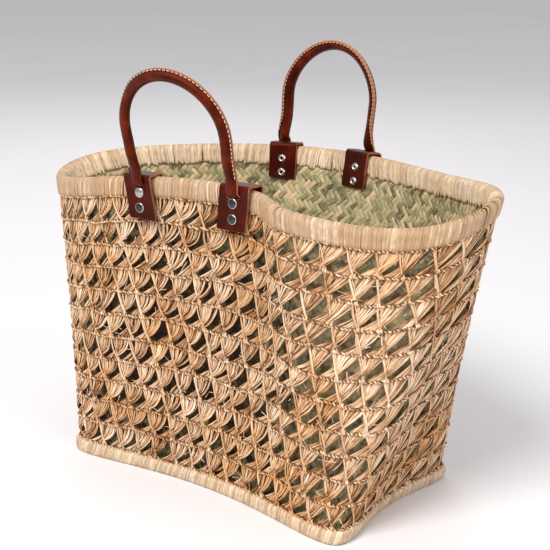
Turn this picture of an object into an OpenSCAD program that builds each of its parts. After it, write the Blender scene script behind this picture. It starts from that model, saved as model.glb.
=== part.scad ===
// Open-lace market basket: a plaited palm lining inside a sleeve of knotted raffia,
// a wound rim and foot ring, and two rolled leather handles riveted through folded tabs.
// Origin: centre of the underside. +X runs along the basket, -Y is the front, +Z is up.

/* [Mouth] */
// Half length of the mouth, measured to the ridge of the rim
mouth_half_length = 250; // [230:1:270]
// Half width of the mouth before it is dented or bellied
mouth_half_width = 89; // [80:1:100]
// How far the front of the mouth is pushed in
front_dent = 28; // [10:1:30]
// Where along the front the dent is deepest
dent_x = 30; // [10:1:40]
// Reach of the dent towards the left end
dent_left = 98; // [80:1:120]
// Reach of the dent towards the right end
dent_right = 50; // [46:1:60]
// How far the back of the mouth bellies out
back_belly = 45; // [20:1:50]
// Mean height of the rim's ridge
rim_height = 291; // [260:1:310]

/* [Foot] */
// Half length of the foot's outline, before its sides are bowed in
foot_half_length = 204.5; // [190:0.5:215]
// Half width of the foot's outline, before its sides are bowed in
foot_half_width = 127; // [115:1:135]
// Squareness of the foot's corners
foot_squareness = 3.86; // [3:0.02:4.2]
// Share of the width by which the long sides bow in
side_bow = 0.38; // [0.2:0.01:0.42]
// Share of the length by which the ends bow in
end_bow = 0.22; // [0.1:0.01:0.26]

/* [Weave] */
// Number of courses of lace between foot and rim
courses = 11; // [11:1:11]
// Thickness of the lace
lace_thickness = 3.2; // [2.4:0.1:3.4]
// Thickness of the palm lining
liner_thickness = 2.2; // [1.6:0.1:2.4]
// How far the lace hangs off the lining in the middle of the long sides
lace_slack = 8; // [2:1:10]

/* [Rim and foot ring] */
// Overall thickness of the wound rim
rim_thickness = 12; // [12:0.5:13]
// Overall height of the wound rim
rim_depth = 20; // [19:0.5:21]
// Diameter of the rope inside the rim
rim_rope_d = 8.2; // [7:0.1:8.4]
// Overall thickness of the foot ring
foot_ring_thickness = 9.4; // [9:0.1:10]
// Overall height of the foot ring
foot_ring_height = 13; // [12:0.5:14]
// Thickness of the raffia winding on both
winding = 1.4; // [1:0.1:1.6]

/* [Handles] */
// Diameter of the rolled handle
handle_d = 10.6; // [10:0.1:11]
// Diameter of the cord rolled inside the handle
handle_cord_d = 6.4; // [5:0.1:7]
// Radius of each handle's arch
arch_radius = [52, 50]; // [50:1:60]
// Height of each arch's centre above its hinge line
arch_centre = [39, 44]; // [30:1:50]
// Outward lean of each handle at rest, in degrees
handle_lean = [14, 4]; // [0:1:15]
// Distance of each hinge line outside the ridge of the rim
hinge_out = [15.5, 6]; // [6:0.5:16]
// Height of each hinge line above the ridge of the rim
hinge_up = [9.5, 11]; // [9.5:0.5:12]
// Width of the stitched seam that stands out of the arch
seam_width = 2.8; // [2:0.1:4]
// Pitch of the stitches along the seam
stitch_pitch = 4.4; // [3.5:0.1:6]

/* [Tabs] */
// Place of each tab along X: front left, front right, back left, back right
tab_x = [-67, 34, -60, 34]; // [-70:1:40]
// Width of a tab
tab_width = 30; // [28:0.5:32]
// Thickness of the tab leather
tab_thickness = 2.2; // [2:0.1:2.4]
// Length of the outer leg below the ridge
outer_leg = 38; // [36:1:42]
// Length of the inner leg below the ridge
inner_leg = 34; // [32:1:38]
// Depth of the two rivets below the ridge
rivet_depth = [13.4, 27.6]; // [12:0.2:30]
// Radius of a rivet's domed cap
cap_r = 4.8; // [4:0.1:5.2]
// Radius of a rivet's post
post_r = 2; // [1.8:0.1:2.2]

/* [Hidden] */
$fn = 40;

FRONT_LEFT = 0;
FRONT_RIGHT = 1;
BACK_LEFT = 2;
BACK_RIGHT = 3;
FRONT = 0;
BACK = 1;

segments = 64;            // facets round the basket
corner_bias = 8;          // degrees by which the facets crowd towards the sides' middles
step = 0.05;              // degrees either side, for a tangent
gap = 0.4;                // clearance between neighbouring layers
base_thickness = 3;
// Slow rise and fall of the rim: cosine and sine terms of once to four times round
rim_cos = [9, -4, 4, 2.5];
rim_sin = [6, 1.5, 6, 0];

rim_out = rim_thickness / 2;
lace_in = rim_out - winding - gap - lace_thickness;
lace_out = rim_out - winding - gap;
liner_out = -rim_out + winding + gap + liner_thickness;
liner_in = -rim_out + winding + gap;
ring_in = liner_out + 0.6;
ring_out = ring_in + foot_ring_thickness;
tuck = rim_depth - 4;     // depth below the ridge at which lace and lining end
rope_centre = winding + 0.1 + rim_rope_d / 2;

tongue_width = 21;
tongue_thickness = 2.2;
tongue_in = rim_out + 0.9;
tongue_out = tongue_in + tongue_thickness;
tab_out = tongue_out + 0.2 + tab_thickness;
tab_in = -rim_out - 1.4 - tab_thickness;
tab_top = 3.4;
slit_depth = [8.4, 4];    // lower and upper edge of the slit below the ridge
neck_width = 13;
hinge_gap = 0.6;          // clearance between a neck and the turning handle end
hole_r = post_r + 0.1;
leg_start = 0.3;          // where the turning leather begins above the hinge line
arch_steps = 18;
seam_half = 1.2;          // half thickness of the handle's seam
thread_d = 0.6;

lace_colour = [0.86, 0.72, 0.50];
liner_colour = [0.62, 0.60, 0.42];
wound_colour = [0.93, 0.82, 0.64];
leather_colour = [0.47, 0.16, 0.08];
metal_colour = [0.62, 0.61, 0.60];
thread_colour = [0.85, 0.72, 0.58];
cord_colour = [0.80, 0.70, 0.50];

// ---- outlines -------------------------------------------------------------

function signed_pow(v, e) = sign(v) * pow(abs(v), e);

function foot_xy(t) =
    let (
        x = foot_half_length * signed_pow(cos(t), 2 / foot_squareness),
        y = foot_half_width * signed_pow(sin(t), 2 / foot_squareness)
    )
    [
        x * (1 - end_bow * (1 - pow(y / foot_half_width, 2))),
        y * (1 - side_bow * (1 - pow(x / foot_half_length, 2)))
    ];

function dent_y(x) =
    x < dent_x
        ? front_dent * exp(-pow((dent_x - x) / dent_left, 2))
        : front_dent * exp(-pow((x - dent_x) / dent_right, 3.5));

function belly_y(x) = back_belly * pow(cos(90 * x / mouth_half_length), 2);

function mouth_xy(t) =
    let (
        x = mouth_half_length * cos(t),
        y = mouth_half_width * sin(t)
    )
    [x, sin(t) < 0 ? y + dent_y(x) : y + belly_y(x)];

function mouth_z(t) =
    rim_height
    + sum([for (k = [1 : 4]) rim_cos[k - 1] * cos(k * t) + rim_sin[k - 1] * sin(k * t)]);

function sum(v, i = 0) = i < len(v) ? v[i] + sum(v, i + 1) : 0;

function unit(v) = v / norm(v);

function foot_tangent(t) = unit(foot_xy(t + step) - foot_xy(t - step));

function mouth_tangent(t) = unit(mouth_xy(t + step) - mouth_xy(t - step));

function outward(tangent) = [tangent[1], -tangent[0]];

// Facet i's place round the basket, in degrees
function place(i) = let (a = 360 * i / segments) a - corner_bias * sin(4 * a);

// ---- the wall -------------------------------------------------------------

// A section point is [out, level, lift, slack]: its distance outside the wall's middle
// surface, its level from the foot (0) to the rim (1), a lift in mm, and how far it hangs
// in at the middle of the long sides.
function wall_point(t, p) =
    let (
        z = mouth_z(t),
        s = p[1] + p[2] / z,
        out = p[0] - p[3] * pow(abs(sin(t)), 3),
        low = foot_xy(t) + (out - ring_out) * outward(foot_tangent(t)),
        high = mouth_xy(t) + out * outward(mouth_tangent(t)),
        xy = low * (1 - s) + high * s
    )
    [xy[0], xy[1], s * z];

// A closed band round the basket, swept from one section
module band(section) {
    m = len(section);
    points = [
        for (i = [0 : segments - 1], p = section) wall_point(place(i), p)
    ];
    faces = [
        for (i = [0 : segments - 1], j = [0 : m - 1])
        let (
            a = i * m + j,
            b = i * m + (j + 1) % m,
            c = ((i + 1) % segments) * m + (j + 1) % m,
            d = ((i + 1) % segments) * m + j
        )
        each [[a, c, b], [a, d, c]]
    ];
    polyhedron(points, faces, convexity = 8);
}

// The lace's edge between two courses, as a level and a lift
function course_edge(n) =
    let (
        f = n / courses,
        low = foot_ring_height + gap,
        high = rim_depth - gap
    )
    [f, low * (1 - f) - high * f];

module lace_course(n) {
    low = course_edge(n - 1);
    high = n == courses ? [1, -tuck] : course_edge(n);
    trim = n == courses ? 0 : gap;
    color(lace_colour)
    difference() {
        band([
            [lace_in, low[0], low[1], 0],
            [lace_out, low[0], low[1], 0],
            [lace_out, high[0], high[1] - trim, 0],
            [lace_in, high[0], high[1] - trim, 0]
        ]);
        if (n == courses) rivet_holes();
    }
}

module liner_wall() {
    base = base_thickness + 0.2;
    levels = [[0, base, 0], [0.25, 0, 0.8], [0.5, 0, 1], [0.75, 0, 0.7], [1, -tuck, 0]];
    outer = [for (v = levels) [liner_out, v[0], v[1], v[2] * lace_slack]];
    inner = [
        for (i = [len(levels) - 1 : -1 : 0])
        [liner_in, levels[i][0], levels[i][1], levels[i][2] * lace_slack]
    ];
    color(liner_colour)
    difference() {
        band(concat(outer, inner));
        rivet_holes();
    }
}

module liner_base() {
    outline = [
        for (i = [0 : segments - 1])
        let (t = place(i))
        foot_xy(t) + (liner_out + 0.2 - ring_out) * outward(foot_tangent(t))
    ];
    color(liner_colour)
    linear_extrude(base_thickness)
    polygon(outline);
}

// ---- rim and foot ring ----------------------------------------------------

module rim_winding() {
    r = rim_out;
    w = winding;
    section = [
        [r - w, 1, -rim_depth, 0], [r, 1, -rim_depth, 0], [r, 1, -4, 0],
        [r - 1.6, 1, -1.2, 0], [r - 4.4, 1, 0, 0], [-r + 4.4, 1, 0, 0],
        [-r + 1.6, 1, -1.2, 0], [-r, 1, -4, 0], [-r, 1, -rim_depth, 0],
        [-r + w, 1, -rim_depth, 0], [-r + w, 1, -4.4, 0], [-r + 3.2, 1, -w, 0],
        [r - 3.2, 1, -w, 0], [r - w, 1, -4.4, 0]
    ];
    color(wound_colour)
    difference() {
        band(section);
        rivet_holes();
    }
}

module rim_rope() {
    color(cord_colour)
    band([
        for (a = [0 : 45 : 315])
        [rim_rope_d / 2 * cos(a), 1, rim_rope_d / 2 * sin(a) - rope_centre, 0]
    ]);
}

// Outline of the foot ring's section, shrunk by e on every side
function ring_section(e) =
    let (
        a = ring_in + e,
        b = ring_out - e,
        h = foot_ring_height - e,
        c = 2.2
    )
    [
        [a + c, 0, e, 0], [b - c, 0, e, 0], [b, 0, e + c, 0], [b, 0, h - c, 0],
        [b - c, 0, h, 0], [a + c, 0, h, 0], [a, 0, h - c, 0], [a, 0, e + c, 0]
    ];

// The winding is open along a narrow seam on the side that is sewn to the wall
module foot_ring_winding() {
    outer = ring_section(0);
    inner = ring_section(winding);
    color(wound_colour)
    band(concat(
        outer,
        [for (i = [7 : -1 : 0]) inner[i]]
    ));
}

module foot_ring_core() {
    color(cord_colour) band(ring_section(winding + 0.2));
}

// ---- tabs, handle ends and rivets -----------------------------------------

function tab_angle(k) =
    (k == FRONT_LEFT || k == FRONT_RIGHT ? -1 : 1) * acos(tab_x[k] / mouth_half_length);

function tab_origin(k) =
    let (t = tab_angle(k), p = mouth_xy(t))
    [p[0], p[1], mouth_z(t)];

function tab_yaw(k) = let (g = mouth_tangent(tab_angle(k))) atan2(g[1], g[0]);

// Angle by which the wall under a tab flares, positive where the top leans inward
function tab_flare(k) =
    let (
        t = tab_angle(k),
        low = foot_xy(t) - ring_out * outward(foot_tangent(t)),
        run = (low - mouth_xy(t)) * outward(mouth_tangent(t))
    )
    atan2(run, mouth_z(t));

// Places its children at a tab: X along the rim, -Y outward, Z up the wall
module at_tab(k) {
    translate(tab_origin(k))
    rotate([-tab_flare(k), 0, tab_yaw(k)])
    children();
}

function at_tab_point(k, p) =
    let (
        f = -tab_flare(k),
        y = tab_yaw(k),
        q = [p[0], p[1] * cos(f) - p[2] * sin(f), p[1] * sin(f) + p[2] * cos(f)]
    )
    tab_origin(k) + [q[0] * cos(y) - q[1] * sin(y), q[0] * sin(y) + q[1] * cos(y), q[2]];

// A cylinder that runs outward from depth d below the ridge, between two distances out
module across(r, from, to, d) {
    translate([0, -from, -d])
    rotate([90, 0, 0])
    cylinder(r = r, h = to - from);
}

module rivet_holes() {
    for (k = [0 : 3], d = rivet_depth)
        at_tab(k) across(hole_r, -14, 18, d);
}

// A round-topped upright, drawn with x outward and y up
module round_top(inner, outer, bottom, top, r) {
    translate([inner, bottom]) square([outer - inner, top - r - bottom]);
    translate([inner + r, bottom]) square([outer - inner - 2 * r, top - bottom]);
    translate([inner + r, top - r]) circle(r);
    translate([outer - r, top - r]) circle(r);
}

module tab(k) {
    corner = 4;
    lower = outer_leg + 5;
    color(leather_colour)
    at_tab(k)
    difference() {
        rotate([90, 0, -90])
        linear_extrude(tab_width, center = true)
        difference() {
            round_top(tab_in, tab_out, -lower, tab_top, corner);
            round_top(
                tab_in + tab_thickness, tab_out - tab_thickness,
                -lower - 1, tab_top - tab_thickness, corner - tab_thickness
            );
            translate([0, -lower - 1]) square([tab_out + 1, lower + 1 - outer_leg]);
            translate([tab_in - 1, -lower - 1]) square([2 - tab_in, lower + 1 - inner_leg]);
        }
        translate([-(neck_width + 2 * gap) / 2, -tab_out - 1, -slit_depth[0]])
        cube([neck_width + 2 * gap, tab_thickness + 2, slit_depth[0] - slit_depth[1]]);
        for (d = rivet_depth) across(hole_r, tab_in - 1, tab_out + 1, d);
    }
}

// Flat end of a handle: a tongue under the tab, and a neck that comes out of its slit
module handle_end(k) {
    side = k < BACK_LEFT ? FRONT : BACK;
    low = -slit_depth[0] + gap;
    high = -slit_depth[1] - gap;
    neck_out = tab_out + 2.4;
    slab = 0.3;
    neck_top = hinge_up[side] - handle_d / 2 - hinge_gap;
    lean_in = min(hinge_out[side], neck_out - 0.6);
    color(leather_colour)
    at_tab(k) {
        difference() {
            union() {
                translate([-tongue_width / 2, -tongue_out, -outer_leg + 2])
                cube([tongue_width, tongue_thickness, outer_leg - 2 + high]);
                translate([-neck_width / 2, -neck_out, low])
                cube([neck_width, neck_out - tongue_in, high - low]);
            }
            for (d = rivet_depth) across(hole_r, tongue_in - 1, tongue_out + 1, d);
        }
        hull() {
            translate([-neck_width / 2, -neck_out, low])
            cube([neck_width, neck_out - tab_out - gap, 1]);
            translate([-neck_width / 2, -neck_out, tab_top])
            cube([neck_width, neck_out - tab_out - gap, slab]);
        }
        hull() {
            translate([-neck_width / 2, -neck_out, tab_top])
            cube([neck_width, neck_out - tab_out - gap, slab]);
            translate([-handle_d / 2, -lean_in - 2, neck_top - slab])
            cube([handle_d, 4, slab]);
        }
    }
}

module rivet_caps(k) {
    dome = 1.4;
    rim = 0.6;
    sphere_r = (cap_r * cap_r + dome * dome) / (2 * dome);
    color(metal_colour)
    at_tab(k)
    for (d = rivet_depth)
        translate([0, -tab_out, -d])
        rotate([90, 0, 0])
        difference() {
            union() {
                cylinder(r = cap_r, h = rim);
                intersection() {
                    translate([0, 0, rim + dome - sphere_r]) sphere(sphere_r, $fn = 64);
                    translate([0, 0, rim]) cylinder(r = cap_r, h = dome + 1);
                }
                translate([0, 0, tab_in - tab_out - 1])
                cylinder(r = post_r, h = tab_out - tab_in + 1.5);
            }
            translate([0, 0, tab_in - tab_out - 2]) cylinder(r = 1.3, h = 7);
        }
}

module rivet_backs(k) {
    roll_r = 0.9;
    roll_at = 2.9;
    color(metal_colour)
    at_tab(k)
    for (d = rivet_depth)
        translate([0, -tab_in, -d])
        rotate([-90, 0, 0])
        difference() {
            union() {
                cylinder(r = 4.2, h = 0.8);
                translate([0, 0, roll_r + 0.1])
                rotate_extrude() translate([roll_at, 0]) circle(roll_r, $fn = 24);
                cylinder(r = roll_at, h = 2 * roll_r);
            }
            translate([0, 0, -1]) cylinder(r = post_r + 0.05, h = 4);
        }
}

// ---- handles --------------------------------------------------------------

function hinge_point(k) =
    let (side = k < BACK_LEFT ? FRONT : BACK)
    at_tab_point(k, [0, -hinge_out[side], hinge_up[side]]);

function hinge_left(side) = hinge_point(side == FRONT ? FRONT_LEFT : BACK_LEFT);

function hinge_right(side) = hinge_point(side == FRONT ? FRONT_RIGHT : BACK_RIGHT);

function half_span(side) = norm(hinge_right(side) - hinge_left(side)) / 2;

// Angle by which a leg splays so that it meets the arch as a tangent
function splay(side) =
    let (a = half_span(side), h = arch_centre[side])
    atan2(h, a) - acos(arch_radius[side] / norm([a, h]));

// Places its children in a handle's plane: X along the hinge, Z up the arch
module at_handle(side) {
    left = hinge_left(side);
    span = hinge_right(side) - left;
    lean = side == FRONT ? handle_lean[side] : -handle_lean[side];
    translate(left + span / 2)
    rotate([lean, -asin(span[2] / norm(span)), atan2(span[1], span[0])])
    children();
}

// Stations from the right leg over the arch to the left leg: [x, z, facing angle]
function handle_path(side) =
    let (f = splay(side), a = half_span(side), r = arch_radius[side])
    concat(
        [[a + leg_start * sin(f), leg_start * cos(f), -f]],
        [
            for (i = [0 : arch_steps])
            let (t = -f + (180 + 2 * f) * i / arch_steps)
            [r * cos(t), arch_centre[side] + r * sin(t), t]
        ],
        [[-a - leg_start * sin(f), leg_start * cos(f), 180 + f]]
    );

// Sweeps a closed section of [outward, across] points along a handle. cap lists the
// polygons that close its first end.
module handle_sweep(side, section, cap) {
    path = handle_path(side);
    m = len(section);
    last = (len(path) - 1) * m;
    points = [
        for (p = path, q = section)
        [p[0] + q[0] * cos(p[2]), -q[1], p[1] + q[0] * sin(p[2])]
    ];
    walls = [
        for (i = [0 : len(path) - 2], j = [0 : m - 1])
        let (
            a = i * m + j,
            b = i * m + (j + 1) % m,
            c = b + m,
            d = a + m
        )
        each [[a, c, b], [a, d, c]]
    ];
    far_cap = [
        for (f = cap)
        [for (v = [len(f) - 1 : -1 : 0]) last + f[v]]
    ];
    at_handle(side) polyhedron(points, concat(walls, cap, far_cap), convexity = 6);
}

function ring_points(r, angles) = [for (a = angles) [r * cos(a), r * sin(a)]];

// The leather is one strip rolled round the cord, its two edges sewn together as a seam
module handle_cover(side) {
    outer_r = handle_d / 2;
    inner_r = handle_cord_d / 2;
    lip = outer_r + seam_width;
    parted = 0.1;
    angles = [45 : 30 : 315];
    root = asin(seam_half / outer_r);
    mouth = asin(parted / inner_r);
    outer = concat(
        [[lip, seam_half]],
        ring_points(outer_r, [root]),
        ring_points(outer_r, angles),
        ring_points(outer_r, [-root]),
        [[lip, -seam_half]]
    );
    inner = concat(
        [[lip, -parted]],
        ring_points(inner_r, [-mouth]),
        ring_points(inner_r, [315 : -30 : 45]),
        ring_points(inner_r, [mouth]),
        [[lip, parted]]
    );
    section = concat(outer, inner);
    top = len(section) - 1;
    cap = [for (j = [0 : len(outer) - 2]) [j, j + 1, top - j - 1, top - j]];
    color(leather_colour) handle_sweep(side, section, cap);
}

module handle_cord(side) {
    section = ring_points(handle_cord_d / 2 - 0.2, [0 : 45 : 315]);
    color(cord_colour) handle_sweep(side, section, [[for (j = [0 : 7]) j]]);
}

// Stitches that lie on both faces of the seam, round the arch
module handle_thread(side) {
    r = arch_radius[side] + handle_d / 2 + seam_width / 2;
    turn = stitch_pitch / r * 180 / PI;
    first = -splay(side);
    count = floor((180 - 2 * first) / turn);
    color(thread_colour)
    at_handle(side)
    translate([0, 0, arch_centre[side]])
    for (i = [0 : count - 1], face = [-1, 1])
        rotate([0, -(first + (i + 0.5) * turn), 0])
        translate([r, face * (seam_half + thread_d / 2), 0])
        cube([0.8, thread_d, stitch_pitch * 0.7], center = true);
}

// ---- assembly -------------------------------------------------------------

liner_base();
liner_wall();
for (n = [1 : courses])
    lace_course(n);
foot_ring_core();
foot_ring_winding();
rim_rope();
rim_winding();
tab(FRONT_LEFT);  // front_left_tab
tab(FRONT_RIGHT);  // front_right_tab
tab(BACK_LEFT);  // back_left_tab
tab(BACK_RIGHT);  // back_right_tab
handle_end(FRONT_LEFT);  // front_left_handle_end
handle_end(FRONT_RIGHT);  // front_right_handle_end
handle_end(BACK_LEFT);  // back_left_handle_end
handle_end(BACK_RIGHT);  // back_right_handle_end
rivet_caps(FRONT_LEFT);  // front_left_rivet_caps
rivet_caps(FRONT_RIGHT);  // front_right_rivet_caps
rivet_caps(BACK_LEFT);  // back_left_rivet_caps
rivet_caps(BACK_RIGHT);  // back_right_rivet_caps
rivet_backs(FRONT_LEFT);  // front_left_rivet_backs
rivet_backs(FRONT_RIGHT);  // front_right_rivet_backs
rivet_backs(BACK_LEFT);  // back_left_rivet_backs
rivet_backs(BACK_RIGHT);  // back_right_rivet_backs
handle_cover(FRONT);  // front_handle_cover
handle_cord(FRONT);  // front_handle_cord
handle_thread(FRONT);  // front_handle_thread
handle_cover(BACK);  // back_handle_cover
handle_cord(BACK);  // back_handle_cord
handle_thread(BACK);  // back_handle_thread
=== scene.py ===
"""An open-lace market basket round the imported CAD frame: knotted raffia over a plaited palm
lining, a wound rim and foot ring, and two rolled leather handles riveted on with folded tabs.

Lengths are millimetres until a mesh is made. The wall is a ruled surface between the foot's
outline and the mouth's, the same one as in the CAD model.
"""

import math

import bpy
import numpy as np
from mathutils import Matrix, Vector


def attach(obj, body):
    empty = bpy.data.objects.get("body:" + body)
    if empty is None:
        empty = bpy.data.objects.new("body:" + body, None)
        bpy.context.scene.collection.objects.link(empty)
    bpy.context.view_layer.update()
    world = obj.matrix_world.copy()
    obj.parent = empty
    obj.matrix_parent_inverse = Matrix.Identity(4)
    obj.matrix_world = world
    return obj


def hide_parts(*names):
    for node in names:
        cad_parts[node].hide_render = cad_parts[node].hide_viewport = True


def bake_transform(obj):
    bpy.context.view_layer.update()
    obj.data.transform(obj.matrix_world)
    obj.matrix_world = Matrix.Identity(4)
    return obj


MM = 0.001
BASKET = "basket"
COURSES = 11

# ---- the frame ----

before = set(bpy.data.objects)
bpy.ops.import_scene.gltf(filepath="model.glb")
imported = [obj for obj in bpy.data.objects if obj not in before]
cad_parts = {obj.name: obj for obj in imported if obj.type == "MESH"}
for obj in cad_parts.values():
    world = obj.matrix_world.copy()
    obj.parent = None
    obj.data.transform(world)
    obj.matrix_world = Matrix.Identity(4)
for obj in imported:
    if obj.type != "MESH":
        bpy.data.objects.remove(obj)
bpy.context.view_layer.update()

# ---- the wall's driving dimensions, as in the CAD model ----

MOUTH_HALF_LENGTH = 250.0
MOUTH_HALF_WIDTH = 89.0
FRONT_DENT = 28.0
DENT_X = 30.0
DENT_LEFT = 98.0
DENT_RIGHT = 50.0
BACK_BELLY = 45.0
RIM_HEIGHT = 291.0
RIM_COS = (9.0, -4.0, 4.0, 2.5)
RIM_SIN = (6.0, 1.5, 6.0, 0.0)
FOOT_HALF_LENGTH = 204.5
FOOT_HALF_WIDTH = 127.0
FOOT_SQUARENESS = 3.86
SIDE_BOW = 0.38
END_BOW = 0.22
RIM_HALF = 6.0  # half the rim's thickness
RIM_DEPTH = 20.0
RING_IN = -1.4
RING_OUT = 8.0
RING_HEIGHT = 13.0
LINER_OUT = -3.1  # middle of the lining's thickness
LACE_OUT = 2.4  # middle of the lace's thickness
LACE_SLACK = 8.0  # how far the lining falls behind the lace in mid side

TURN = 2 * math.pi
PLACE_STEP = 0.002  # a short step round the basket, for directions
SAMPLES = 8192  # places round the basket at which the outlines are tabled


def unit(vectors):
    return vectors / np.linalg.norm(vectors, axis=-1, keepdims=True)


def signed_power(value, exponent):
    return np.sign(value) * np.abs(value) ** exponent


def bell(value, middle, width):
    """1 at the middle, falling smoothly to 0 on both sides."""
    return np.exp(-(((value - middle) / width) ** 2))


def slope(value, middle, width):
    """From 1 below the middle, smoothly, to 0 above it."""
    return 1 / (1 + np.exp((value - middle) / width))


def ease(value, start, end):
    """From 0 at start to 1 at end in a straight line, and level outside them."""
    return np.clip((value - start) / (end - start), 0, 1)


def foot_outline(angle):
    x = FOOT_HALF_LENGTH * signed_power(np.cos(angle), 2 / FOOT_SQUARENESS)
    y = FOOT_HALF_WIDTH * signed_power(np.sin(angle), 2 / FOOT_SQUARENESS)
    bowed_x = x * (1 - END_BOW * (1 - (y / FOOT_HALF_WIDTH) ** 2))
    bowed_y = y * (1 - SIDE_BOW * (1 - (x / FOOT_HALF_LENGTH) ** 2))
    return np.stack([bowed_x, bowed_y], -1)


def mouth_outline(angle):
    x = MOUTH_HALF_LENGTH * np.cos(angle)
    y = MOUTH_HALF_WIDTH * np.sin(angle)
    right = np.exp(-(np.maximum(x - DENT_X, 0) / DENT_RIGHT) ** 3.5)
    dent = FRONT_DENT * np.where(x < DENT_X, bell(x, DENT_X, DENT_LEFT), right)
    belly = BACK_BELLY * np.cos(0.5 * np.pi * x / MOUTH_HALF_LENGTH) ** 2
    return np.stack([x, np.where(np.sin(angle) < 0, y + dent, y + belly)], -1)


def mouth_rise(angle):
    waves = enumerate(zip(RIM_COS, RIM_SIN), start=1)
    return RIM_HEIGHT + sum(c * np.cos(k * angle) + s * np.sin(k * angle) for k, (c, s) in waves)


def outward_of(outline):
    """Outward unit normals of a closed outline that runs counter-clockwise."""
    along = unit(np.roll(outline, -1, axis=0) - np.roll(outline, 1, axis=0))
    return np.stack([along[:, 1], -along[:, 0]], -1)


# A place round the basket is a number from 0 to TURN that starts at the +X end. It crowds
# the samples towards the middles of the sides, where the foot's angle runs fastest.
PLACES = np.arange(SAMPLES) * TURN / SAMPLES
ANGLES = PLACES - 0.245 * np.sin(4 * PLACES)
FOOT = foot_outline(ANGLES)
MOUTH = mouth_outline(ANGLES)
FOOT_NORMAL = outward_of(FOOT)
MOUTH_NORMAL = outward_of(MOUTH)
RISE = mouth_rise(ANGLES)
SIDE_SLACK = LACE_SLACK * np.abs(np.sin(ANGLES)) ** 3


def read(table, place):
    """A table's value at any place round the basket."""
    index = np.mod(place, TURN) * SAMPLES / TURN
    low = np.floor(index).astype(int)
    share = index - low
    if table.ndim > 1:
        share = share[..., None]
    return table[low % SAMPLES] * (1 - share) + table[(low + 1) % SAMPLES] * share


def length_table(outline):
    steps = np.linalg.norm(np.roll(outline, -1, axis=0) - outline, axis=1)
    return np.concatenate([[0], np.cumsum(steps)])


FOOT_LENGTH = length_table(FOOT)[-1]
MOUTH_LENGTH = length_table(MOUTH)[-1]
LEVEL_STEPS = 64
SHARE_STEPS = 4096


def place_table():
    """Places at equal steps of girth, one row for each level from the foot to the rim."""
    places = np.append(PLACES, TURN)
    shares = np.linspace(0, 1, SHARE_STEPS + 1)
    rows = []
    for level in np.linspace(0, 1, LEVEL_STEPS + 1):
        run = length_table(FOOT * (1 - level) + MOUTH * level)
        rows.append(np.interp(shares * run[-1], run, places))
    return np.array(rows)


PLACE_TABLE = place_table()


def place_at(share, level):
    """The place round the basket at a share of its girth, at a level from foot (0) to rim (1)."""
    share, level = np.broadcast_arrays(share, level)
    whole = np.floor(share)
    column = (share - whole) * SHARE_STEPS
    row = np.clip(level, 0, 1) * LEVEL_STEPS
    left = np.minimum(np.floor(column).astype(int), SHARE_STEPS - 1)
    low = np.minimum(np.floor(row).astype(int), LEVEL_STEPS - 1)
    part, rise = column - left, row - low
    lower = PLACE_TABLE[low, left] * (1 - part) + PLACE_TABLE[low, left + 1] * part
    upper = PLACE_TABLE[low + 1, left] * (1 - part) + PLACE_TABLE[low + 1, left + 1] * part
    return whole * TURN + lower * (1 - rise) + upper * rise


def wall(place, height, out):
    """Points on the wall, from place, height over the floor and distance outside its middle."""
    place, height, out = np.broadcast_arrays(place, height, out)
    level = (height / read(RISE, place))[..., None]
    low = read(FOOT, place) + (out - RING_OUT)[..., None] * read(FOOT_NORMAL, place)
    high = read(MOUTH, place) + out[..., None] * read(MOUTH_NORMAL, place)
    flat = low * (1 - level) + high * level
    return np.concatenate([flat, height[..., None]], -1)


def wall_normal(place, height, out):
    rise = 0.5
    along = wall(place + PLACE_STEP, height, out) - wall(place - PLACE_STEP, height, out)
    up = wall(place, height + rise, out) - wall(place, height - rise, out)
    return unit(np.cross(along, up))


def liner_offset(place, level):
    """How far out the lining lies: it hangs in at the middle of the long sides."""
    hang = np.sin(np.pi * np.clip(level, 0, 1)) ** 0.8
    return LINER_OUT - read(SIDE_SLACK, place) * hang


# ---- meshes ----

LENS = np.array([(1, 0), (0.5, 0.8), (-0.5, 0.8), (-1, 0), (-0.5, -0.8), (0.5, -0.8)])
RIBBON = np.array([(1, 0), (0.84, 1), (-0.84, 1), (-1, 0), (-0.84, -1), (0.84, -1)])


def swept(centre, side, across, face, proud):
    """Rings round the points of a line, from steps across along side and proud along face."""
    return (centre[..., None, :] + across[..., None] * side[..., None, :]
            + proud[..., None] * face[..., None, :])


def run_along(centre, closed):
    """Directions in which strips run."""
    if closed:
        return unit(np.roll(centre, -1, axis=1) - np.roll(centre, 1, axis=1))
    return unit(np.gradient(centre, axis=1))


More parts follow.
